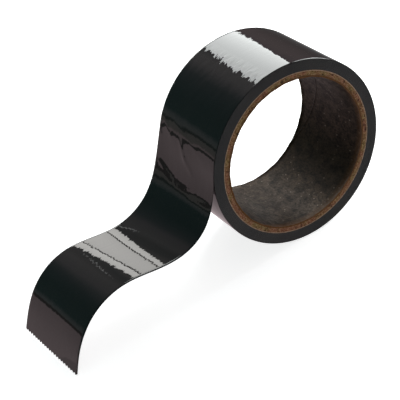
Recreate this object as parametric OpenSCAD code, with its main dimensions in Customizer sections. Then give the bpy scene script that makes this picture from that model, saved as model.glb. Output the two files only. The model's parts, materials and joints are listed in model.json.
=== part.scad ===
// Roll of wide adhesive film tape on a spiral-wound paper core, with its free end hanging off
// the roll in an S-curve down to the bench. +Y is the roll's axis, +Z is up, and the origin is
// the middle of the core's bore. The roll and the toothed cut end stand on z = -roll_r.

/* [Tape] */
// Width of the tape, and so of the roll
tape_w = 50; // [20:1:60]
// Outer radius of the whole roll
roll_r = 46.8; // [44:0.1:60]
// Thickness of the glossy backing film
film_t = 0.11; // [0.08:0.01:0.2]
// Thickness of the adhesive coat under the film
adhesive_t = 0.05; // [0.04:0.01:0.1]

/* [Core] */
// Radius of the bore, half of three inches
core_bore_r = 38.1; // [36:0.1:38.1]
// Thickness of the speckled paper that lines the bore
liner_t = 0.4; // [0.3:0.05:0.5]
// Thickness of each kraft ply
ply_t = 0.44; // [0.3:0.02:0.5]
// Number of kraft plies between the liner and the wrap
ply_count = 5; // [5:1:5]
// Thickness of the pale wrap that the tape is wound on
wrap_t = 0.4; // [0.3:0.05:0.5]

/* [Free end] */
// Place of the peel line round the roll, from +X towards +Z, in degrees
peel_angle = 158; // [150:1:165]
// Length along the strip from the peel line to where it starts to bend away from the roll
drop_start = 11; // [6:1:14]
// Length of that bend
drop_len = 57; // [54:1:62]
// Angle of that bend, in degrees
drop_turn = 78; // [72:1:80]
// Length along the strip from the peel line to where it starts to bend down again
fall_start = 65; // [62:1:68]
// Length of the downward bend
fall_len = 61; // [56:1:64]
// Angle of the downward bend, in degrees
fall_turn = 74; // [70:1:80]
// Number of teeth across the cut end
tooth_count = 22; // [12:1:30]
// Depth of the notches between the teeth
tooth_depth = 0.9; // [0.4:0.1:1.2]
// Flat left on the tip of each tooth
tooth_tip = 0.3; // [0.2:0.1:0.5]

/* [Fits] */
// Radial clearance in which the wound turns spin under the last turn
spin_gap = 0.05; // [0.03:0.01:0.08]
// Slit at the peel line between the last turn and the free end
peel_gap = 0.2; // [0.2:0.05:0.4]
// Angle past the peel line at which the last turn starts, in degrees
step_angle = 6; // [4:1:10]

/* [Hidden] */
$fn = 180;

strip_t = film_t + adhesive_t;
floor_z = -roll_r;
first_ply_r = core_bore_r + liner_t;
wrap_r = first_ply_r + ply_count * ply_t;
core_r = wrap_r + wrap_t;
wound_r = roll_r - strip_t - spin_gap;

// The free end's outer face is a curve of arc length s from the peel line. Its heading falls by
// drop_turn and then rises by fall_turn, each eased in and out, so the film never kinks.
curve_steps = 63;
curve_len = fall_start + fall_len;
curve_step = curve_len / curve_steps;
end_heading = peel_angle + 90 - drop_turn + fall_turn;

function ease(t) = let (u = min(max(t, 0), 1)) u * u * (3 - 2 * u);
function heading(s) = peel_angle + 90
    - drop_turn * ease((s - drop_start) / drop_len)
    + fall_turn * ease((s - fall_start) / fall_len);
function along(a) = [cos(a), sin(a)];
function inward(a) = along(a + 90);

curve = [
    for (i = 0, p = roll_r * along(peel_angle);
         i <= curve_steps;
         p = p + curve_step * along(heading((i + 0.5) * curve_step)), i = i + 1) p
];
// The last stretch is straight, and its lower edge ends on the bench.
tip_rise = -strip_t * inward(end_heading)[1];
tip_run = (curve[curve_steps][1] - floor_z - tip_rise) / -along(end_heading)[1];
tip = curve[curve_steps] + tip_run * along(end_heading);

// Points of the curve moved inward by depth, from the peel line to the cut end
function strip_side(depth) = concat(
    [for (i = [0 : curve_steps]) curve[i] + depth * inward(heading(i * curve_step))],
    [tip + depth * inward(end_heading)]
);
function reversed(list) = [for (i = [len(list) - 1 : -1 : 0]) list[i]];

// Prism of a flat outline drawn in X and Z, as wide as the tape
module across_tape() {
    rotate([90, 0, 0])
        linear_extrude(height = tape_w, center = true)
            children();
}

// Plain ring round the roll's axis
module ring(inner_r, outer_r) {
    rotate([90, 0, 0])
        difference() {
            cylinder(h = tape_w, r = outer_r, center = true);
            cylinder(h = tape_w + 2, r = inner_r, center = true);
        }
}

// Ring with the gap at the peel line, for the layers of the last turn
module open_ring(inner_r, outer_r) {
    gap_from = peel_angle - asin(peel_gap / roll_r);
    gap_to = peel_angle + step_angle;
    difference() {
        ring(inner_r, outer_r);
        rotate([90, 0, 0])
            linear_extrude(height = tape_w + 2, center = true)
                polygon([[0, 0], 2 * roll_r * along(gap_from), 2 * roll_r * along(gap_to)]);
    }
}

// V-shaped notches left between the teeth by the dispenser's blade
module notches() {
    pitch = tape_w / tooth_count;
    half_mouth = (pitch - tooth_tip) / 2;
    cut_clear = 0.2;
    slope = half_mouth / tooth_depth;
    mouth = half_mouth + slope * cut_clear;
    translate([tip[0], 0, tip[1]])
        rotate([0, -end_heading, 0])
            linear_extrude(height = 4, center = true)
                for (i = [0 : tooth_count - 1])
                    translate([0, (i + 0.5) * pitch - tape_w / 2])
                        polygon([[-tooth_depth, 0], [cut_clear, -mouth], [cut_clear, mouth]]);
}

// One layer of the free end, between two depths under its outer face
module strip_layer(top, bottom) {
    difference() {
        across_tape() polygon(concat(strip_side(top), reversed(strip_side(bottom))));
        notches();
    }
}

module core_liner() {
    color([0.36, 0.32, 0.29])
        ring(core_bore_r, first_ply_r);
}

module core_ply(i) {
    color([0.62, 0.41, 0.25])
        ring(first_ply_r + (i - 1) * ply_t, first_ply_r + i * ply_t);
}

module core_wrap() {
    color([0.70, 0.54, 0.40])
        ring(wrap_r, core_r);
}

module wound_turns() {
    color([0.17, 0.18, 0.18])
        ring(core_r, wound_r);
}

module last_turn_film() {
    color([0.05, 0.05, 0.06])
        open_ring(roll_r - film_t, roll_r);
}

module last_turn_adhesive() {
    color([0.14, 0.13, 0.12])
        open_ring(roll_r - strip_t, roll_r - film_t);
}

module tail_film() {
    color([0.05, 0.05, 0.06])
        strip_layer(0, film_t);
}

module tail_adhesive() {
    color([0.14, 0.13, 0.12])
        strip_layer(film_t, strip_t);
}

core_liner();
for (i = [1 : ply_count])
    core_ply(i);
core_wrap();
wound_turns();
last_turn_film();
last_turn_adhesive();
tail_film();
tail_adhesive();
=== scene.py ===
"""Looks for a roll of wide glossy black adhesive tape whose free end hangs off to the bench.

The strip is one continuous film with an adhesive coat under it: the last turn on the roll and the
free end. Under it lies the wound strip, and inside that a paper core of separately wound plies.
Lengths in the named values are in millimetres, as on a drawing, and angles are in degrees.
"""
import json
import math

import bmesh
import bpy
import numpy as np
from mathutils import Matrix, Vector


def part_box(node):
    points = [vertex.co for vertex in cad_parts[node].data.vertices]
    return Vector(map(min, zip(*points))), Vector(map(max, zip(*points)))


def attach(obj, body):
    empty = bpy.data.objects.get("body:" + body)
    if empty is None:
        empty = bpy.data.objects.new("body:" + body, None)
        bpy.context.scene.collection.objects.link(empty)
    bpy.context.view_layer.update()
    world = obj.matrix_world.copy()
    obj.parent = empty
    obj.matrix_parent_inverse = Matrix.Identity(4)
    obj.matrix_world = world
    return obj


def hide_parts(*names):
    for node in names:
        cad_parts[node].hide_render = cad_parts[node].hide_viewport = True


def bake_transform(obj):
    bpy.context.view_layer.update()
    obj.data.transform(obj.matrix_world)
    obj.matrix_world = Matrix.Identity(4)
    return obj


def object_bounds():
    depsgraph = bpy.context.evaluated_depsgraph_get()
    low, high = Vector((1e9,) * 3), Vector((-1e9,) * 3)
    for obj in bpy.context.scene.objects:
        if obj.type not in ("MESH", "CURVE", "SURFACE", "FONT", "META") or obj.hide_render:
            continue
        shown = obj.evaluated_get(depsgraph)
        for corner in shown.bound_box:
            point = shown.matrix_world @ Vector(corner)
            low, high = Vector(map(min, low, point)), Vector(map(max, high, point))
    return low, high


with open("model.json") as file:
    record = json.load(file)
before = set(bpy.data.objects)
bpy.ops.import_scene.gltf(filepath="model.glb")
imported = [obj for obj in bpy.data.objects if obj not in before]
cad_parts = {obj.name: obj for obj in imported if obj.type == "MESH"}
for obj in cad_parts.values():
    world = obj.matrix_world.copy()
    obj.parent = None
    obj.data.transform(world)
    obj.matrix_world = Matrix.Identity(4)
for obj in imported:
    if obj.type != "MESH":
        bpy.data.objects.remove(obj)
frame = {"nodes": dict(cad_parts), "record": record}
cad_low, cad_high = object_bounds()

MM = 0.001

# Sizes read from the frame, in millimetres
ROLL_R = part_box("last_turn_film")[1].z / MM
HALF_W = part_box("last_turn_film")[1].y / MM
WIDTH = 2.0 * HALF_W
FILM_T = ROLL_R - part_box("last_turn_adhesive")[1].x / MM
BORE_R = frame["record"]["mounts"][0]["dims"]["r_mm"]
LINER_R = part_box("core_liner")[1].x / MM
CORE_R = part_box("core_wrap")[1].x / MM
FLOOR_Z = cad_low.z / MM
PLY_NODES = sorted(n for n in frame["nodes"] if n.startswith("core_ply_"))

# Strip of tape. The coat is set in from the film's edges and lies a hair under the film
COAT_T = 0.05
COAT_INSET = 0.06
COAT_GAP = 0.002
STRIP_T = FILM_T + COAT_T
# Gap between the near edge's peel line and the start of the last turn, which it comes round to
NIP_GAP = 0.25
# Teeth of the cut end: the notches' depth, the flat tip between them, how much the depth varies as
# a share of it, and how far a notch's sides lean
TEETH = 22
TOOTH_DEPTH = 0.9
TOOTH_TIP = 0.3
TOOTH_UNEVEN = 0.22
TOOTH_LEAN = 0.066
# Length of the end in which the rows of points follow the teeth, and the number of those rows
TEETH_ZONE = 4.0
TOOTH_ROWS = 5
# Rows of points on the roll: how much coarser they are, and the length at which that ends
COARSE = 1.7
FINE_FROM = -14.0
# The stretch of the strip, by length from the peel line, over which its dents and its painted glow are
# given
DENTS_AND_GLOW_FROM = -80.0
DENTS_AND_GLOW_TO = 120.0
# How strongly the film is dented, from 0 to 1, at places from 0 to 1 along that stretch
DENTS = ((0.00, 0.25), (0.05, 0.25), (0.075, 0.80), (0.095, 0.40), (0.115, 0.04), (0.155, 0.04),
         (0.172, 1.00), (0.22, 1.00), (0.32, 0.20), (0.55, 0.20), (0.66, 0.14), (0.70, 0.10),
         (0.72, 0.05), (0.76, 0.05), (0.79, 0.20), (0.83, 0.20), (0.90, 0.12), (0.96, 0.20))
# How much the film is painted lighter beside its highlights, a painted glow that stands in for
# scattered light, from 0 to 1, at places given in the same way
HIGHLIGHT_GLOW = ((0.18, 0.0), (0.20, 1.0), (0.215, 1.0), (0.235, 0.35), (0.25, 0.0), (0.79, 0.0), (0.81, 0.5),
        (0.86, 0.4), (0.88, 0.0))
# Rounding of the film's slit edges: width and drop, at the near and at the far edge, and the
# least thickness it leaves
RIM_W = (0.45, 0.80)
RIM_DROP = (0.085, 0.17)
LEAST_EDGE_T = 0.02
# Distances from the near and from the far edge at which the film has more columns of points
NEAR_RIM = (0.06, 0.14, 0.22, 0.32, 0.60)
FAR_RIM = (0.60, 0.40, 0.20, 0.08)
# Curl of the free end along its near edge: width and drop
CURL_W = 0.8
CURL_DROP = 0.32
# Waves all over the free film: (height, length of strip to a radian, width to a radian, start)
WAVES = ((0.020, 5.2, 7.0, 0.6), (0.014, 3.1, -5.5, 2.1))
# Heights of the ripple across the strip and of the S-bend along it, both just past the peel line
PUCKER_H = 0.05
PEEL_BEND = 0.04
# Creases where the film was peeled: from (length, place across) to (length, place across), height
CREASES = ((2.5, 4.8, 8.5, 0.6, 0.11), (8.5, 0.6, 13.0, -5.5, 0.11), (-4.0, 21.0, 2.0, 14.0, 0.05),
           (-6.0, 12.0, -2.5, 2.0, 0.04), (-1.0, -3.0, 3.0, -13.0, 0.04), (18.0, 20.0, 22.0, 9.0, 0.05),
           (23.0, 4.0, 21.0, -9.0, 0.04), (24.5, -8.0, 23.0, -21.0, 0.06))
CREASE_W = 1.3
CREASE_FADE = 2.0

# The free end's two edges, as seen from the side. Each leaves the roll at its own angle, bends
# away from it and then down again: (peel angle, start and length of the bend away, its angle,
# start and length of the bend down, its angle, length to the cut).
NEAR_EDGE = (164.5, 0.4, 71.6, 106.9, 39.0, 88.4, 101.0, 125.0)
FAR_EDGE = (155.8, 12.1, 72.3, 91.1, 58.5, 71.9, 89.2, 132.7)
PEEL_ANGLE = FAR_EDGE[0]

# Wound strip: its clearance under the last turn, its rings of points to a turn, how far its edges
# wander, and how much of the pitch of its turns it fills
SPIN_GAP = 0.05
TURN_STEPS = 150
EDGE_WOBBLE = 0.05
PITCH_FILL = 0.99

# Core: points round a ply, its seam's gap, and the fray of its cut ends, which are set in by the
# recess and none, one or two steps, and bevelled, the first ply's the most
PLY_STEPS = 360
PLY_GAP = 0.3
PLY_FRAY = 0.045
PLY_RECESS = 0.02
PLY_STEP = 0.05
PLY_BEVEL = 0.05
INNER_BEVEL = 0.25
BEVEL_SLOPE = 0.6
# The liner's seam: slope, and the angle at which it passes a depth in the bore; its gap and its
# lips, which stand up from the bore; the burr of the liner's cut ends, which leans into the bore
SEAM_SLOPE = 22.0
SEAM_ANGLE = 17.0
SEAM_DEPTH = 32.0
SEAM_GAP = 0.45
LIP_H = 0.12
LIP_W = 0.8
BURR = 0.40
BURR_LEN = 1.2
LINER_FRAY = 0.10
LINER_WAVE = 0.012

# Camera: it looks down at the roll's near side from the left of the axis, and is held tilted
CAM_AZIMUTH = -22.85
CAM_ELEVATION = 34.25
CAM_ROLL = -16.6
CAM_AIM = (-58.98, -35.1, 12.43)
CAM_DISTANCE = 560.0
CAM_LENS = 113.5

# Bench: half of its side, its glow, and how far it is below the lowest tips
FLOOR_HALF = 6000.0
FLOOR_GLOW = 0.82
FLOOR_CLEAR = 0.2
# Studio: panels at one Y behind the roll, by their corners' X and Z, and one on the right, by Y
# and Z; and an upright card on the left, by the X and Y of its two ends and by its heights
WARM_WHITE = (1.0, 0.985, 0.95)
COOL_WHITE = (0.97, 1.0, 0.99)
SOFTBOX_Y = 310.0
ROLL_SOFTBOX = ((-23, 420), (52, 255), (58, 235), (196, 146), (224, 158), (246, 206), (330, 420))
TAIL_SOFTBOX_TOP = ((-30, 127), (110, 177), (110, 164.5), (-30, 80.5))
TAIL_SOFTBOX = ((-30, 75.5), (110, 159.5), (110, 60), (-30, 60))
TAIL_GLINT = ((-14, 153), (-37, 186), (-34, 187), (-11, 154))
SIDE_SOFTBOX_X = 400.0
SIDE_SOFTBOX = ((370, 60), (-60, 60), (-60, 420), (370, 420))
CARD_FROM = (-371.0, 134.0)
CARD_TO = (-99.0, 386.0)
CARD_FOOT = -120.0
CARD_EDGE = -13.0
CARD_TOP = -1.0
CARD_COLOUR = (0.61, 0.49, 0.505)
CARD_EDGE_COLOUR = (0.12, 0.115, 0.11)
# Radiance of the surroundings, by parts of the direction that go from -1 to 1: ahead by the X
# part, and to the left and to the right by the Z part
WORLD_ACROSS = ((-0.50, (0.080, 0.145, 0.140)), (-0.36, (0.110, 0.170, 0.170)),
                (-0.22, (0.165, 0.205, 0.210)), (-0.10, (0.30, 0.30, 0.31)), (0.10, (0.32, 0.32, 0.32)),
                (0.20, (0.22, 0.225, 0.225)), (0.28, (0.21, 0.22, 0.22)), (0.36, (0.33, 0.32, 0.31)),
                (0.60, (0.30, 0.25, 0.25)))
WORLD_BELOW = (0.62, 0.51, 0.53)
WORLD_LEFT = ((-0.35, (0.40, 0.33, 0.34)), (-0.12, (0.62, 0.50, 0.51)), (-0.040, (0.52, 0.43, 0.43)),
              (-0.030, (0.32, 0.30, 0.28)), (0.04, (0.30, 0.30, 0.28)), (0.055, (0.09, 0.11, 0.10)),
              (0.075, (0.09, 0.12, 0.11)), (0.095, (0.25, 0.28, 0.27)), (0.14, (0.22, 0.26, 0.26)),
              (0.19, (0.080, 0.145, 0.140)))
WORLD_RIGHT = ((-0.40, (0.30, 0.30, 0.30)), (-0.28, (0.10, 0.095, 0.095)), (-0.10, (0.11, 0.09, 0.09)),
               (0.05, (0.19, 0.15, 0.15)), (0.20, (0.29, 0.23, 0.23)), (0.30, (0.31, 0.25, 0.26)))
# Where the surroundings go over from below to ahead, by Z, and from left to ahead to right, by X
BELOW_TO_AHEAD = (-0.25, -0.10)
LEFT_TO_AHEAD = (-0.55, -0.40)
AHEAD_TO_RIGHT = (0.35, 0.55)

rng = np.random.default_rng(11)


# ---------------------------------------------------------------- mesh helpers

def ease(t):
    """0 up to t = 0 and 1 from t = 1, with a soft start and end between them."""
    t = np.clip(t, 0.0, 1.0)
    return t * t * (3.0 - 2.0 * t)


def make_object(name, points, faces, uvs=None, smooth_angle=40.0):
    """A mesh object from points in millimetres, with one UV pair for each point."""
    mesh = bpy.data.meshes.new(name)
    mesh.from_pydata((np.asarray(points) * MM).tolist(), [], faces)
    if uvs is not None:
        corners = np.empty(len(mesh.loops), np.int32)
        mesh.loops.foreach_get("vertex_index", corners)
        layer = mesh.uv_layers.new(name="strip")
        layer.uv.foreach_set("vector", (np.asarray(uvs) * MM)[corners].astype(np.float32).ravel())
    shell = bmesh.new()
    shell.from_mesh(mesh)
    bmesh.ops.recalc_face_normals(shell, faces=shell.faces)
    shell.to_mesh(mesh)
    shell.free()
    mesh.shade_smooth()
    mesh.set_sharp_from_angle(angle=math.radians(smooth_angle))
    made = bpy.data.objects.new(name, mesh)
    bpy.context.scene.collection.objects.link(made)
    return made


def tube_faces(rows, columns):
    """Faces of a grid of points whose columns close up into a tube, with a cap at each end."""
    faces = []
    for i in range(rows - 1):
        here = i * columns
        there = here + columns
        for j in range(columns):
            k = (j + 1) % columns
            faces.append((here + j, here + k, there + k, there + j))
    last = (rows - 1) * columns
    faces.append(tuple(range(columns)))
    faces.append(tuple(range(last + columns - 1, last - 1, -1)))
    return faces


def sheet_faces(rows, columns):
    """Faces of a thin closed sheet: a top grid of points, then a bottom grid of the same size."""
    faces = []
    under = rows * columns
    for i in range(rows - 1):
        for j in range(columns - 1):
            a = i * columns + j
            b = a + columns
            faces.append((a, a + 1, b + 1, b))
            faces.append((under + a, under + b, under + b + 1, under + a + 1))
    for i in range(rows - 1):
        for a in (i * columns, i * columns + columns - 1):
            b = a + columns
            faces.append((a, b, under + b, under + a))
    for j in range(columns - 1):
        for a in (j, (rows - 1) * columns + j):
            faces.append((a, a + 1, under + a + 1, under + a))
    return faces


# ---------------------------------------------------------------- shader helpers

class Nodes:
    """Short calls for building a node tree."""

    def __init__(self, tree):
        self.tree = tree

    def node(self, kind, inputs=None, **settings):
        made = self.tree.nodes.new(kind)
        for name, value in settings.items():
            setattr(made, name, value)
        for socket, value in (inputs or {}).items():
            self.feed(made.inputs[socket], value)
        return made

    def feed(self, socket, value):
        if isinstance(value, bpy.types.NodeSocket):
            self.tree.links.new(value, socket)
        else:
            socket.default_value = value

    def ramp_value(self, factor, low, high, to_low=0.0, to_high=1.0):
        inputs = {"Value": factor, "From Min": low, "From Max": high,
                  "To Min": to_low, "To Max": to_high}
        return self.node("ShaderNodeMapRange", inputs).outputs["Result"]

    def ramp_colour(self, factor, *stops):
        """Colour along factor, from stops of (place, linear colour)."""
        made = self.node("ShaderNodeValToRGB", {"Fac": factor})
        elements = made.color_ramp.elements
        while len(elements) < len(stops):
            elements.new(0.5)
        for element, (at, colour) in zip(elements, stops):
            element.position = at
            element.color = (*colour, 1.0)
        return made.outputs["Color"]

    def mix(self, factor, a, b):
        """Colour a where the factor is 0 and colour b where it is 1."""
        made = self.node("ShaderNodeMix", {"Factor": factor}, data_type="RGBA")
        for name, value in (("A", a), ("B", b)):
            target = [s for s in made.inputs if s.name == name and s.type == "RGBA"][0]
            self.feed(target, (*value, 1.0) if isinstance(value, tuple) else value)
        return [s for s in made.outputs if s.type == "RGBA"][0]

    def math(self, operation, a, b):
        made = self.node("ShaderNodeMath", operation=operation)
        self.feed(made.inputs[0], a)
        self.feed(made.inputs[1], b)
        return made.outputs["Value"]


class Shader(Nodes):
    """A material with a Principled surface."""

    def __init__(self, name, colour, roughness, **sockets):
        self.material = bpy.data.materials.new(name)
        self.material.use_nodes = True
        super().__init__(self.material.node_tree)
        self.surface = self.tree.nodes["Principled BSDF"]
        self.surface.inputs["Base Color"].default_value = (*colour, 1.0)
        self.surface.inputs["Roughness"].default_value = roughness
        for socket, value in sockets.items():
            self.surface.inputs[socket.replace("_", " ")].default_value = value

    def link(self, output, socket):
        self.tree.links.new(output, self.surface.inputs[socket])

    def place(self, scale, use_uv=False):
        """Coordinates in metres, from the strip's own length and width or from the piece."""
        if use_uv:
            source = self.node("ShaderNodeUVMap", uv_map="strip").outputs["UV"]
        else:
            source = self.node("ShaderNodeTexCoord").outputs["Object"]
        mapping = self.node("ShaderNodeMapping", {"Vector": source, "Scale": scale})
        return mapping.outputs["Vector"]

    def noise(self, vector, detail=2.0, rough=0.5, distortion=0.0):
        inputs = {"Vector": vector, "Scale": 1.0, "Detail": detail, "Roughness": rough,
                  "Distortion": distortion}
        return self.node("ShaderNodeTexNoise", inputs).outputs["Fac"]

    def specks(self, vector, size):
        """1 in the middle of scattered round specks and 0 between them."""
        cells = self.node("ShaderNodeTexVoronoi", {"Vector": vector, "Scale": 1.0})
        return self.ramp_value(cells.outputs["Distance"], size, size * 0.4)

    def bump(self, height, depth, below=None):
        """Bump of a height from 0 to 1 over depth metres, laid over another bump if one is given."""
        inputs = {"Height": height, "Distance": depth, "Strength": 1.0}
        if below is not None:
            inputs["Normal"] = below
        return self.node("ShaderNodeBump", inputs).outputs["Normal"]


def dress(piece, material):
    """Give a piece its one material."""
    piece.data.materials.clear()
    piece.data.materials.append(material)


# ---------------------------------------------------------------- materials

def film_material():
    """High-gloss black film with scuffs, dented in places along the strip, and painted lighter beside
    its highlights as a painted glow of scattered light.
    """
    s = Shader("black_film", (0.006, 0.006, 0.006), 0.015, IOR=1.45)
    uv = s.node("ShaderNodeUVMap", uv_map="strip").outputs["UV"]
    length = s.node("ShaderNodeSeparateXYZ", {"Vector": uv}).outputs["X"]
    along = s.ramp_value(length, DENTS_AND_GLOW_FROM * MM, DENTS_AND_GLOW_TO * MM)
    strength = s.ramp_colour(along, *((at, (value, value, value)) for at, value in DENTS))
    dents = s.noise(s.place((120.0, 260.0, 1.0), use_uv=True), distortion=0.3)
    ripple = s.noise(s.place((45.0, 520.0, 1.0), use_uv=True))
    first = s.bump(s.math("MULTIPLY", dents, strength), 0.00022)
    s.link(s.bump(ripple, 0.00001, first), "Normal")
    tone = s.noise(s.place((60.0, 90.0, 1.0), use_uv=True), detail=3.0)
    black = s.ramp_colour(tone, (0.3, (0.0054, 0.0058, 0.0060)), (0.7, (0.0076, 0.0068, 0.0068)))
    # Painted glow: the base colour is made lighter beside the highlights, standing in for light that
    # the dents scatter
    painted_glow = s.ramp_colour(along, *((at, (value, value, value)) for at, value in HIGHLIGHT_GLOW))
    s.link(s.mix(painted_glow, black, (0.026, 0.022, 0.022)), "Base Color")
    scuff = s.noise(s.place((90.0, 2600.0, 1.0), use_uv=True), detail=3.0, rough=0.7)
    s.link(s.ramp_value(scuff, 0.62, 0.82, 0.015, 0.08), "Roughness")
    return s.material


def adhesive_material():
    """Dark tacky coat, satin and slightly mottled where it has pulled off the turn below."""
    s = Shader("adhesive_coat", (0.012, 0.012, 0.012), 0.3, IOR=1.47)
    mottle = s.noise(s.place((260.0, 300.0, 1.0), use_uv=True), detail=4.0, rough=0.6)
    strings = s.noise(s.place((900.0, 140.0, 1.0), use_uv=True))
    s.link(s.ramp_colour(mottle, (0.35, (0.010, 0.010, 0.010)), (0.7, (0.022, 0.021, 0.020))),
           "Base Color")
    s.link(s.ramp_value(mottle, 0.3, 0.7, 0.18, 0.42), "Roughness")
    first = s.bump(strings, 0.00008)
    s.link(s.bump(mottle, 0.00012, first), "Normal")
    return s.material


def wound_material():
    """Slit edges of the wound turns: matte charcoal with faint rings and dust."""
    s = Shader("wound_edges", (0.027, 0.027, 0.027), 0.62, Specular_IOR_Level=0.3)
    cloud = s.noise(s.place((70.0, 70.0, 70.0)), detail=3.0)
    grain = s.noise(s.place((2600.0, 2600.0, 2600.0)))
    soft = s.ramp_colour(cloud, (0.3, (0.0260, 0.0270, 0.0280)), (0.7, (0.0340, 0.0325, 0.0320)))
    dusty = s.ramp_value(grain, 0.62, 0.78, 0.0, 0.5)
    s.link(s.mix(dusty, soft, (0.052, 0.050, 0.047)), "Base Color")
    s.link(s.ramp_value(grain, 0.3, 0.7, 0.5, 0.72), "Roughness")
    s.link(s.bump(grain, 0.00004), "Normal")
    return s.material


def kraft_material():
    """Cut edge of brown kraft board: short fibres, reddish and olive patches, dark spots."""
    s = Shader("kraft_board", (0.13, 0.065, 0.035), 0.85, Specular_IOR_Level=0.2)
    fibre = s.noise(s.place((1500.0, 1500.0, 1500.0)), detail=4.0, rough=0.65)
    spot = s.noise(s.place((430.0, 430.0, 430.0)), rough=0.6)
    hue = s.noise(s.place((170.0, 170.0, 170.0)))
    reddish = s.ramp_colour(fibre, (0.32, (0.060, 0.022, 0.010)), (0.50, (0.165, 0.070, 0.036)),
                            (0.70, (0.290, 0.150, 0.090)))
    olive = s.ramp_colour(fibre, (0.32, (0.055, 0.032, 0.010)), (0.50, (0.150, 0.092, 0.034)),
                          (0.70, (0.290, 0.200, 0.100)))
    board = s.mix(s.ramp_value(hue, 0.40, 0.60), reddish, olive)
    dark = s.mix(s.ramp_value(spot, 0.58, 0.68, 0.0, 0.85), board, (0.028, 0.010, 0.005))
    s.link(dark, "Base Color")
    s.link(s.bump(fibre, 0.00025), "Normal")
    return s.material


def wrap_material():
    """Paler outer wrap of the core, whose edge shows as a thin line under the tape."""
    s = Shader("pale_wrap", (0.22, 0.13, 0.085), 0.8, Specular_IOR_Level=0.2)
    fibre = s.noise(s.place((1300.0, 1300.0, 1300.0)), detail=3.0)
    s.link(s.ramp_colour(fibre, (0.3, (0.160, 0.100, 0.062)), (0.7, (0.320, 0.215, 0.150))),
           "Base Color")
    s.link(s.bump(fibre, 0.0001), "Normal")
    return s.material


def liner_material():
    """Very dark recycled paper with a warm sheen: cloudy, flecked and browner at its cut ends, and
    painted near black along the seam as painted shade in its gap. The UV's U runs round the bore from
    the seam and its V along the bore."""
    s = Shader("liner_paper", (0.005, 0.003, 0.0015), 0.47, Specular_IOR_Level=0.26)
    uv = s.node("ShaderNodeUVMap", uv_map="strip").outputs["UV"]
    split = s.node("ShaderNodeSeparateXYZ", {"Vector": uv})
    cloud = s.noise(s.place((260.0, 160.0, 260.0)), detail=4.0, rough=0.6)
    grain = s.noise(s.place((1000.0, 620.0, 1000.0)), detail=3.0, rough=0.7)
    both = s.math("MULTIPLY", cloud, grain)
    s.link(s.ramp_colour(both, (0.13, (0.15, 0.10, 0.06)), (0.37, (1.0, 0.66, 0.42))), "Specular Tint")
    base = s.ramp_colour(both, (0.15, (0.003, 0.0015, 0.0005)), (0.35, (0.020, 0.012, 0.006)))
    rare = s.ramp_value(cloud, 0.47, 0.53)
    fleck = s.math("MULTIPLY", s.specks(s.place((420.0, 300.0, 420.0)), size=0.17), rare)
    flecked = s.mix(fleck, base, (0.15, 0.12, 0.10))
    near_end = s.ramp_value(split.outputs["Y"], -0.0249, -0.0200, 1.0, 0.0)
    far_end = s.ramp_value(split.outputs["Y"], 0.0249, 0.0246, 1.0, 0.0)
    ends = s.math("MAXIMUM", near_end, far_end)
    browner = s.mix(ends, flecked, (0.080, 0.034, 0.010))
    # Painted shade: the paper along one edge of the seam's gap is painted near black
    seam = s.ramp_value(split.outputs["X"], 0.0006, 0.0011, 1.0, 0.0)
    s.link(s.mix(seam, browner, (0.001, 0.0005, 0.0005)), "Base Color")
    s.link(s.ramp_value(both, 0.15, 0.35, 0.55, 0.42), "Roughness")
    s.link(s.bump(grain, 0.00010), "Normal")
    return s.material


# ---------------------------------------------------------------- strip of tape

def edge_line(edge):
    """One edge of the free end: its lengths from the far edge's peel line, and its points."""
    peel, away_at, away_len, away, down_at, down_len, down, _ = edge
    step = 0.25
    longest = 140.0
    s = (np.arange(int(longest / step)) + 0.5) * step
    heading = np.radians(peel + 90.0 - away * ease((s - away_at) / away_len)
                         + down * ease((s - down_at) / down_len))
    turn = math.radians(peel)
    start = np.array([[math.cos(turn), math.sin(turn)]]) * ROLL_R
    walk = np.cumsum(np.stack([np.cos(heading), np.sin(heading)], -1) * step, axis=0)
    offset = math.radians(peel - PEEL_ANGLE) * ROLL_R
    return offset, offset + np.arange(len(s) + 1) * step, np.vstack([start, start + walk])


EDGES = (edge_line(NEAR_EDGE), edge_line(FAR_EDGE))


def edge_point(edge, u):
    """Points in X and Z of one edge, at lengths u: on the roll before it peels, then free."""
    offset, lengths, line = edge
    angle = math.radians(PEEL_ANGLE) + u / ROLL_R
    radius = ROLL_R + STRIP_T * np.minimum(u, 0.0) / (2.0 * math.pi * ROLL_R)
    on_roll = u < offset
    x = np.where(on_roll, radius * np.cos(angle), np.interp(u, lengths, line[:, 0]))
    z = np.where(on_roll, radius * np.sin(angle), np.interp(u, lengths, line[:, 1]))
    return np.stack([x, z], -1)


def crease(u, y, u_from, y_from, u_to, y_to, height):
    """A soft ridge along one line on the film, fading out past its ends."""
    length = math.hypot(u_to - u_from, y_to - y_from)
    du = (u_to - u_from) / length
    dy = (y_to - y_from) / length
    along = (u - u_from) * du + (y - y_from) * dy
    off = (u - u_from) * dy - (y - y_from) * du
    past = np.maximum(np.maximum(-along, along - length), 0.0)
    return height * np.exp(-(off / CREASE_W) ** 2 - (past / CREASE_FADE) ** 2)


def bell(u, middle, width):
    """1 at the middle length and fading to 0 over about the width on both sides."""
    return np.exp(-((u - middle) / width) ** 2)


def film_height(u, y):
    """Unevenness of the film's outer face in millimetres: waves on the free film, which are weaker
    along its middle, a ripple and a bend past the peel line, creases, and the near edge's curl."""
    wave = sum(height * np.sin(u / long + y / wide + start) for height, long, wide, start in WAVES)
    wave = wave + PUCKER_H * np.sin(y / 4.6 + u / 9.0) * bell(u, 6.0, 14.0)
    free = ease((u + 10.0) / 14.0)
    calm = 1.0 - 0.8 * ease((u - 35.0) / 18.0) * ease((105.0 - u) / 20.0)
    height = free * wave * calm
    for line in CREASES:
        height = height + crease(u, y, *line)
    height = height + PEEL_BEND * (bell(u, 22.0, 5.0) - bell(u, 12.0, 5.0))
    curl = np.clip((-y - HALF_W + CURL_W) / CURL_W, 0.0, 1.0) ** 2 * ease((u - 15.0) / 25.0)
    return height - CURL_DROP * curl


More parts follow.
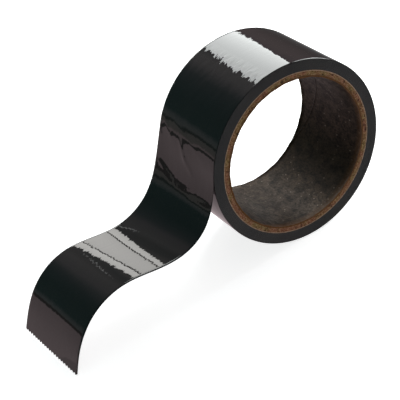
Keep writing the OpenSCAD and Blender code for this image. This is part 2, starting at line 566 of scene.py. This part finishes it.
def strip_face(u, y):
    """Points of the film's outer face, and its outward normals."""
    def plain(u, y):
        share = ((y / HALF_W + 1.0) / 2.0)[..., None]
        flat = edge_point(EDGES[0], u) * (1.0 - share) + edge_point(EDGES[1], u) * share
        return np.stack([flat[..., 0], y, flat[..., 1]], -1)

    step = 0.2
    along = plain(u + step, y) - plain(u - step, y)
    across = plain(u, y + step) - plain(u, y - step)
    normal = np.cross(across, along)
    normal /= np.linalg.norm(normal, axis=-1, keepdims=True)
    return plain(u, y) + normal * film_height(u, y)[..., None], normal


def tooth_columns(inset):
    """Places across the strip, five to a tooth and more along the edges, and how deep the cut is
    at each."""
    pitch = WIDTH / TEETH
    mouth = (pitch - TOOTH_TIP) / 2.0
    places = []
    depths = []
    for i in range(TEETH):
        deep = TOOTH_DEPTH * (1.0 + TOOTH_UNEVEN * rng.uniform(-1.0, 1.0))
        lean = TOOTH_LEAN * rng.uniform(-1.0, 1.0)
        for at, depth in ((0.0, 1.0), (mouth / 2, 0.5), (mouth, 0.0), (mouth + TOOTH_TIP, 0.0),
                          (pitch - mouth / 2, 0.5)):
            places.append(-HALF_W + i * pitch + at + (lean if 0.0 < depth < 1.0 else 0.0))
            depths.append(deep * depth)
    places.append(HALF_W)
    depths.append(TOOTH_DEPTH)
    places = np.array(places)
    depths = np.array(depths)
    extra = np.concatenate([np.array(NEAR_RIM) - HALF_W, HALF_W - np.array(FAR_RIM)])
    depths = np.concatenate([depths, np.interp(extra, places, depths)])
    places = np.concatenate([places, extra])
    order = np.argsort(places, kind="stable")
    places = places[order]
    depths = depths[order]
    return places * (1.0 - inset / HALF_W), depths


def strip_grid(row_step, inset):
    """Lengths u and places y of a grid over the whole strip. Its rows are coarser on the roll, from
    the start of the last turn to just before the peel line, and the last rows follow the teeth."""
    y, depth = tooth_columns(inset)
    share = (y / HALF_W + 1.0) / 2.0
    near_peel = EDGES[0][0]
    near_end = near_peel + NEAR_EDGE[-1]
    far_end = EDGES[1][0] + FAR_EDGE[-1]
    end = near_end * (1.0 - share) + far_end * share - depth
    plain_end = min(near_end, far_end) - TEETH_ZONE
    turn = 2.0 * math.pi * ROLL_R
    start = near_peel * (1.0 - share) + NIP_GAP - turn
    on_roll = np.linspace(0.0, 1.0, int((turn + FINE_FROM) / (COARSE * row_step)))
    free = np.arange(FINE_FROM, plain_end, row_step)
    teeth = np.linspace(0.0, 1.0, TOOTH_ROWS + 1)[1:]
    rows = [start + (free[0] - start) * t for t in on_roll[:-1]]
    rows += [np.full_like(y, u) for u in free]
    rows += [free[-1] + (end - free[-1]) * t for t in teeth]
    u = np.stack(rows)
    return u, np.broadcast_to(y, u.shape)


def make_strip(name, row_step, top, bottom, inset, material):
    """A layer of the strip between two depths under its outer face, bending at the peel line."""
    u, y = strip_grid(row_step, inset)
    face, normal = strip_face(u, y)
    rim_w = np.where(y < 0.0, RIM_W[0], RIM_W[1])
    rim_drop = np.where(y < 0.0, RIM_DROP[0], RIM_DROP[1])
    rim = rim_drop * np.clip((np.abs(y) - HALF_W + rim_w) / rim_w, 0.0, 1.0) ** 2
    rounded = (top + np.minimum(rim, bottom - top - LEAST_EDGE_T))[..., None]
    points = np.concatenate([(face - normal * rounded).reshape(-1, 3),
                             (face - normal * bottom).reshape(-1, 3)])
    uv = np.stack([u, y], -1).reshape(-1, 2)
    piece = make_object(name, points, sheet_faces(*u.shape), np.concatenate([uv, uv]))
    dress(piece, material)
    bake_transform(piece)
    return piece


# ---------------------------------------------------------------- wound strip

def make_wound_strip(material):
    """The wound turns as one spiral of film with its coat, each turn's edges a little off."""
    outer = ROLL_R - 2.0 * STRIP_T - SPIN_GAP
    turns = int((outer - CORE_R) / STRIP_T)
    pitch = (outer - CORE_R) / turns
    count = turns * TURN_STEPS + 1
    turn = np.arange(count) / TURN_STEPS
    angle = math.radians(PEEL_ANGLE) + turn * 2.0 * math.pi
    film_r = CORE_R + pitch * np.clip(turn, 0.0, turns - 1.0) + pitch
    waves = [(rng.uniform(0.3, 2.7), rng.uniform(0.0, 6.3), rng.uniform(0.4, 1.0)) for _ in range(9)]
    lean = sum(a * np.sin(k * 2.0 * math.pi * turn + p) for k, p, a in waves) / 4.0
    film_t = pitch - COAT_T
    bottom = PITCH_FILL * pitch
    section = [(0.0, 1.0, 0.0), (0.0, -1.0, 0.0), (film_t, -1.0, 0.0), (film_t, -1.0, COAT_INSET),
               (bottom, -1.0, COAT_INSET), (bottom, 1.0, COAT_INSET), (film_t, 1.0, COAT_INSET),
               (film_t, 1.0, 0.0)]
    rings = []
    for depth, side, inset in section:
        r = film_r - depth
        y = side * (HALF_W - inset - EDGE_WOBBLE) + EDGE_WOBBLE * lean
        rings.append(np.stack([r * np.cos(angle), np.clip(y, -HALF_W, HALF_W), r * np.sin(angle)], -1))
    points = np.stack(rings, 1).reshape(-1, 3)
    piece = make_object("wound_strip", points, tube_faces(count, len(section)))
    dress(piece, material)
    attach(piece, "roll")
    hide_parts("wound_turns")
    return piece


# ---------------------------------------------------------------- core

def make_ply(name, inner, outer, recess, bevel, node, material):
    """One ply of the core: a ring with a butt seam and rough, slightly bevelled cut ends."""
    gap = PLY_GAP / outer
    seam = rng.uniform(0.0, 2.0 * math.pi)
    angle = seam + np.linspace(gap / 2.0, 2.0 * math.pi - gap / 2.0, PLY_STEPS)
    fray = rng.normal(0.0, PLY_FRAY, (4, PLY_STEPS))
    fray = (fray + np.roll(fray, 1, axis=1)) / 2.0
    ends = HALF_W - recess
    shoulder = inner + bevel * BEVEL_SLOPE
    section = [(inner, -ends + bevel, 0), (shoulder, -ends, 0), (outer, -ends, 1),
               (outer, ends, 2), (shoulder, ends, 3), (inner, ends - bevel, 3)]
    rings = []
    for r, y, row in section:
        rough = y + math.copysign(1.0, -y) * np.abs(fray[row])
        rings.append(np.stack([r * np.cos(angle), rough, r * np.sin(angle)], -1))
    points = np.stack(rings, 1).reshape(-1, 3)
    piece = make_object(name, points, tube_faces(PLY_STEPS, len(section)), smooth_angle=30.0)
    dress(piece, material)
    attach(piece, "roll")
    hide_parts(node)
    return piece


def make_liner(material):
    """The bore's liner: one strip of paper wound in a helix, with its butt seam left open."""
    gap = SEAM_GAP / BORE_R
    first = np.array([0.0, 0.15, 0.5])
    depth = np.concatenate([first, np.arange(1.5, WIDTH - 1.0, 1.0), WIDTH - first[::-1]])
    seam = np.radians(SEAM_ANGLE) - (depth - SEAM_DEPTH) / (BORE_R * math.tan(math.radians(SEAM_SLOPE)))
    share = np.linspace(0.0, 1.0, PLY_STEPS)
    edge = np.minimum(share, 1.0 - share) * 2.0 * math.pi * BORE_R
    turn = gap / 2.0 + share * (2.0 * math.pi - gap)
    angle = seam[:, None] + turn[None, :]
    end = np.minimum(depth, WIDTH - depth)
    uneven = 1.0 + 0.35 * np.sin(angle * 9.0) * np.sin(angle * 23.0 + 1.0)
    burr = BURR * ease(1.0 - end / BURR_LEN)[:, None] * uneven
    lips = LIP_H * np.exp(-edge / LIP_W)[None, :]
    wave = LINER_WAVE * np.sin(angle * 23.0 + depth[:, None] / 3.0)
    inner = BORE_R - burr - lips + wave
    fray = LINER_FRAY * np.abs(np.sin(angle * 61.0) * np.sin(angle * 37.0 + 1.0))
    near_end = (depth < 1.0)[:, None]
    far_end = (depth > WIDTH - 1.0)[:, None]
    y = depth[:, None] - HALF_W + fray * near_end - fray * far_end
    top = np.stack([inner * np.cos(angle), y, inner * np.sin(angle)], -1)
    bottom = np.stack([LINER_R * np.cos(angle), y, LINER_R * np.sin(angle)], -1)
    uv = np.stack([turn[None, :] * BORE_R + 0.0 * y, y], -1).reshape(-1, 2)
    points = np.concatenate([top.reshape(-1, 3), bottom.reshape(-1, 3)])
    piece = make_object("liner", points, sheet_faces(*angle.shape), np.concatenate([uv, uv]))
    dress(piece, material)
    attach(piece, "roll")
    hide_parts("core_liner")
    return piece


def make_core():
    """The liner, the kraft plies from the inside out, and the wrap."""
    kraft = kraft_material()
    make_liner(liner_material())
    inner = LINER_R
    for i, node in enumerate(PLY_NODES):
        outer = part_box(node)[1].x / MM
        recess = PLY_RECESS + PLY_STEP * ((i * 2) % 3)
        bevel = INNER_BEVEL if i == 0 else PLY_BEVEL
        make_ply(f"kraft_{i + 1}", inner, outer, recess, bevel, node, kraft)
        inner = outer
    make_ply("outer_wrap", inner, CORE_R, 0.0, PLY_BEVEL, "core_wrap", wrap_material())


# ---------------------------------------------------------------- studio

def look_matrix(location, aim, roll):
    """Where a camera stands that looks at the aim, turned by roll about its line of sight."""
    turn = (aim - location).normalized().to_track_quat("-Z", "Y").to_matrix()
    return Matrix.Translation(location) @ (turn @ Matrix.Rotation(math.radians(roll), 3, "Z")).to_4x4()


def make_camera():
    data = bpy.data.cameras.new("camera")
    data.lens = CAM_LENS
    data.sensor_width = 36.0
    data.clip_start = 0.01
    azimuth = math.radians(CAM_AZIMUTH)
    elevation = math.radians(CAM_ELEVATION)
    back = Vector((math.sin(azimuth) * math.cos(elevation), -math.cos(azimuth) * math.cos(elevation),
                   math.sin(elevation)))
    aim = Vector(CAM_AIM) * MM
    camera = bpy.data.objects.new("camera", data)
    camera.matrix_world = look_matrix(aim + back * CAM_DISTANCE * MM, aim, CAM_ROLL)
    bpy.context.scene.collection.objects.link(camera)
    bpy.context.scene.camera = camera


def make_floor():
    """Pale bench, which glows so that the shadows on it stay faint."""
    data = bpy.data.meshes.new("floor")
    side = FLOOR_HALF * MM
    z = (FLOOR_Z - FLOOR_CLEAR) * MM
    corners = [(-side, -side, z), (side, -side, z), (side, side, z), (-side, side, z)]
    data.from_pydata(corners, [], [(0, 1, 2, 3)])
    floor = bpy.data.objects.new("floor", data)
    bpy.context.scene.collection.objects.link(floor)
    pale = Shader("pale_floor", (0.8, 0.8, 0.8), 0.9, Specular_IOR_Level=0.0)
    pale.surface.inputs["Emission Color"].default_value = (1.0, 1.0, 1.0, 1.0)
    pale.surface.inputs["Emission Strength"].default_value = FLOOR_GLOW
    data.materials.append(pale.material)
    floor.visible_glossy = False


def make_panel(name, corners, colour, glow):
    """A glowing flat panel whose mirror image shows on the film. Only a bright one lights the rest."""
    data = bpy.data.meshes.new(name)
    data.from_pydata((np.array(corners) * MM).tolist(), [], [tuple(range(len(corners)))])
    panel = bpy.data.objects.new(name, data)
    bpy.context.scene.collection.objects.link(panel)
    material = bpy.data.materials.new(name)
    material.use_nodes = True
    material.node_tree.nodes.clear()
    p = Nodes(material.node_tree)
    emission = p.node("ShaderNodeEmission", {"Color": (*colour, 1.0), "Strength": glow})
    p.node("ShaderNodeOutputMaterial", {"Surface": emission.outputs["Emission"]})
    data.materials.append(material)
    panel.visible_camera = False
    panel.visible_diffuse = glow > 1.0


def behind(outline):
    """Corners of a panel that stands behind the roll, from their X and Z."""
    return [(x, SOFTBOX_Y, z) for x, z in outline]


def card_corners(low, high):
    """Corners of an upright card that stands behind the roll on its left, between two heights."""
    return [(*CARD_FROM, low), (*CARD_TO, low), (*CARD_TO, high), (*CARD_FROM, high)]


def make_world():
    """Surroundings as the film mirrors them: grey ahead, darker to the right, dark teal to the
    left with grey strips near the horizon. Seen directly they are plain white."""
    world = bpy.data.worlds.new("studio")
    world.use_nodes = True
    bpy.context.scene.world = world
    world.node_tree.nodes.clear()
    w = Nodes(world.node_tree)

    def sky(part, stops):
        """Colour by one part of the direction, which goes from -1 to 1."""
        return w.ramp_colour(w.ramp_value(part, -1.0, 1.0),
                             *(((at + 1.0) / 2.0, colour) for at, colour in stops))

    direction = w.node("ShaderNodeTexCoord").outputs["Generated"]
    split = w.node("ShaderNodeSeparateXYZ", {"Vector": direction})
    x = split.outputs["X"]
    z = split.outputs["Z"]
    ahead = w.mix(w.ramp_value(z, *BELOW_TO_AHEAD), WORLD_BELOW, sky(x, WORLD_ACROSS))
    from_left = w.mix(w.ramp_value(x, *LEFT_TO_AHEAD), sky(z, WORLD_LEFT), ahead)
    around = w.mix(w.ramp_value(x, *AHEAD_TO_RIGHT), from_left, sky(z, WORLD_RIGHT))
    mirrored = w.node("ShaderNodeBackground", {"Color": around}).outputs["Background"]
    seen = w.node("ShaderNodeBackground", {"Color": (1.0, 1.0, 1.0, 1.0)}).outputs["Background"]
    camera_ray = w.node("ShaderNodeLightPath").outputs["Is Camera Ray"]
    both = w.node("ShaderNodeMixShader", {0: camera_ray, 1: mirrored, 2: seen}).outputs["Shader"]
    w.node("ShaderNodeOutputWorld", {"Surface": both})


def make_studio():
    bpy.context.scene.view_settings.view_transform = "Standard"
    make_floor()
    make_world()
    side = [(SIDE_SOFTBOX_X, y, z) for y, z in SIDE_SOFTBOX]
    make_panel("roll_softbox", behind(ROLL_SOFTBOX), COOL_WHITE, glow=6.8)
    make_panel("tail_softbox_top", behind(TAIL_SOFTBOX_TOP), WARM_WHITE, glow=5.1)
    make_panel("tail_softbox", behind(TAIL_SOFTBOX), WARM_WHITE, glow=4.25)
    make_panel("tail_glint", behind(TAIL_GLINT), COOL_WHITE, glow=1.5)
    make_panel("left_card", card_corners(CARD_FOOT, CARD_EDGE), CARD_COLOUR, glow=1.0)
    make_panel("left_card_edge", card_corners(CARD_EDGE, CARD_TOP), CARD_EDGE_COLOUR, glow=1.0)
    make_panel("side_softbox", side, COOL_WHITE, glow=7.0)


# ---------------------------------------------------------------- the model

make_camera()
make_studio()
film = make_strip("tape_film", 1.0, 0.0, FILM_T, 0.0, film_material())
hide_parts("last_turn_film", "tail_film")
coat = make_strip("adhesive_coat", 2.0, FILM_T + COAT_GAP, STRIP_T, COAT_INSET,
                  adhesive_material())
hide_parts("last_turn_adhesive", "tail_adhesive")
make_wound_strip(wound_material())
make_core()
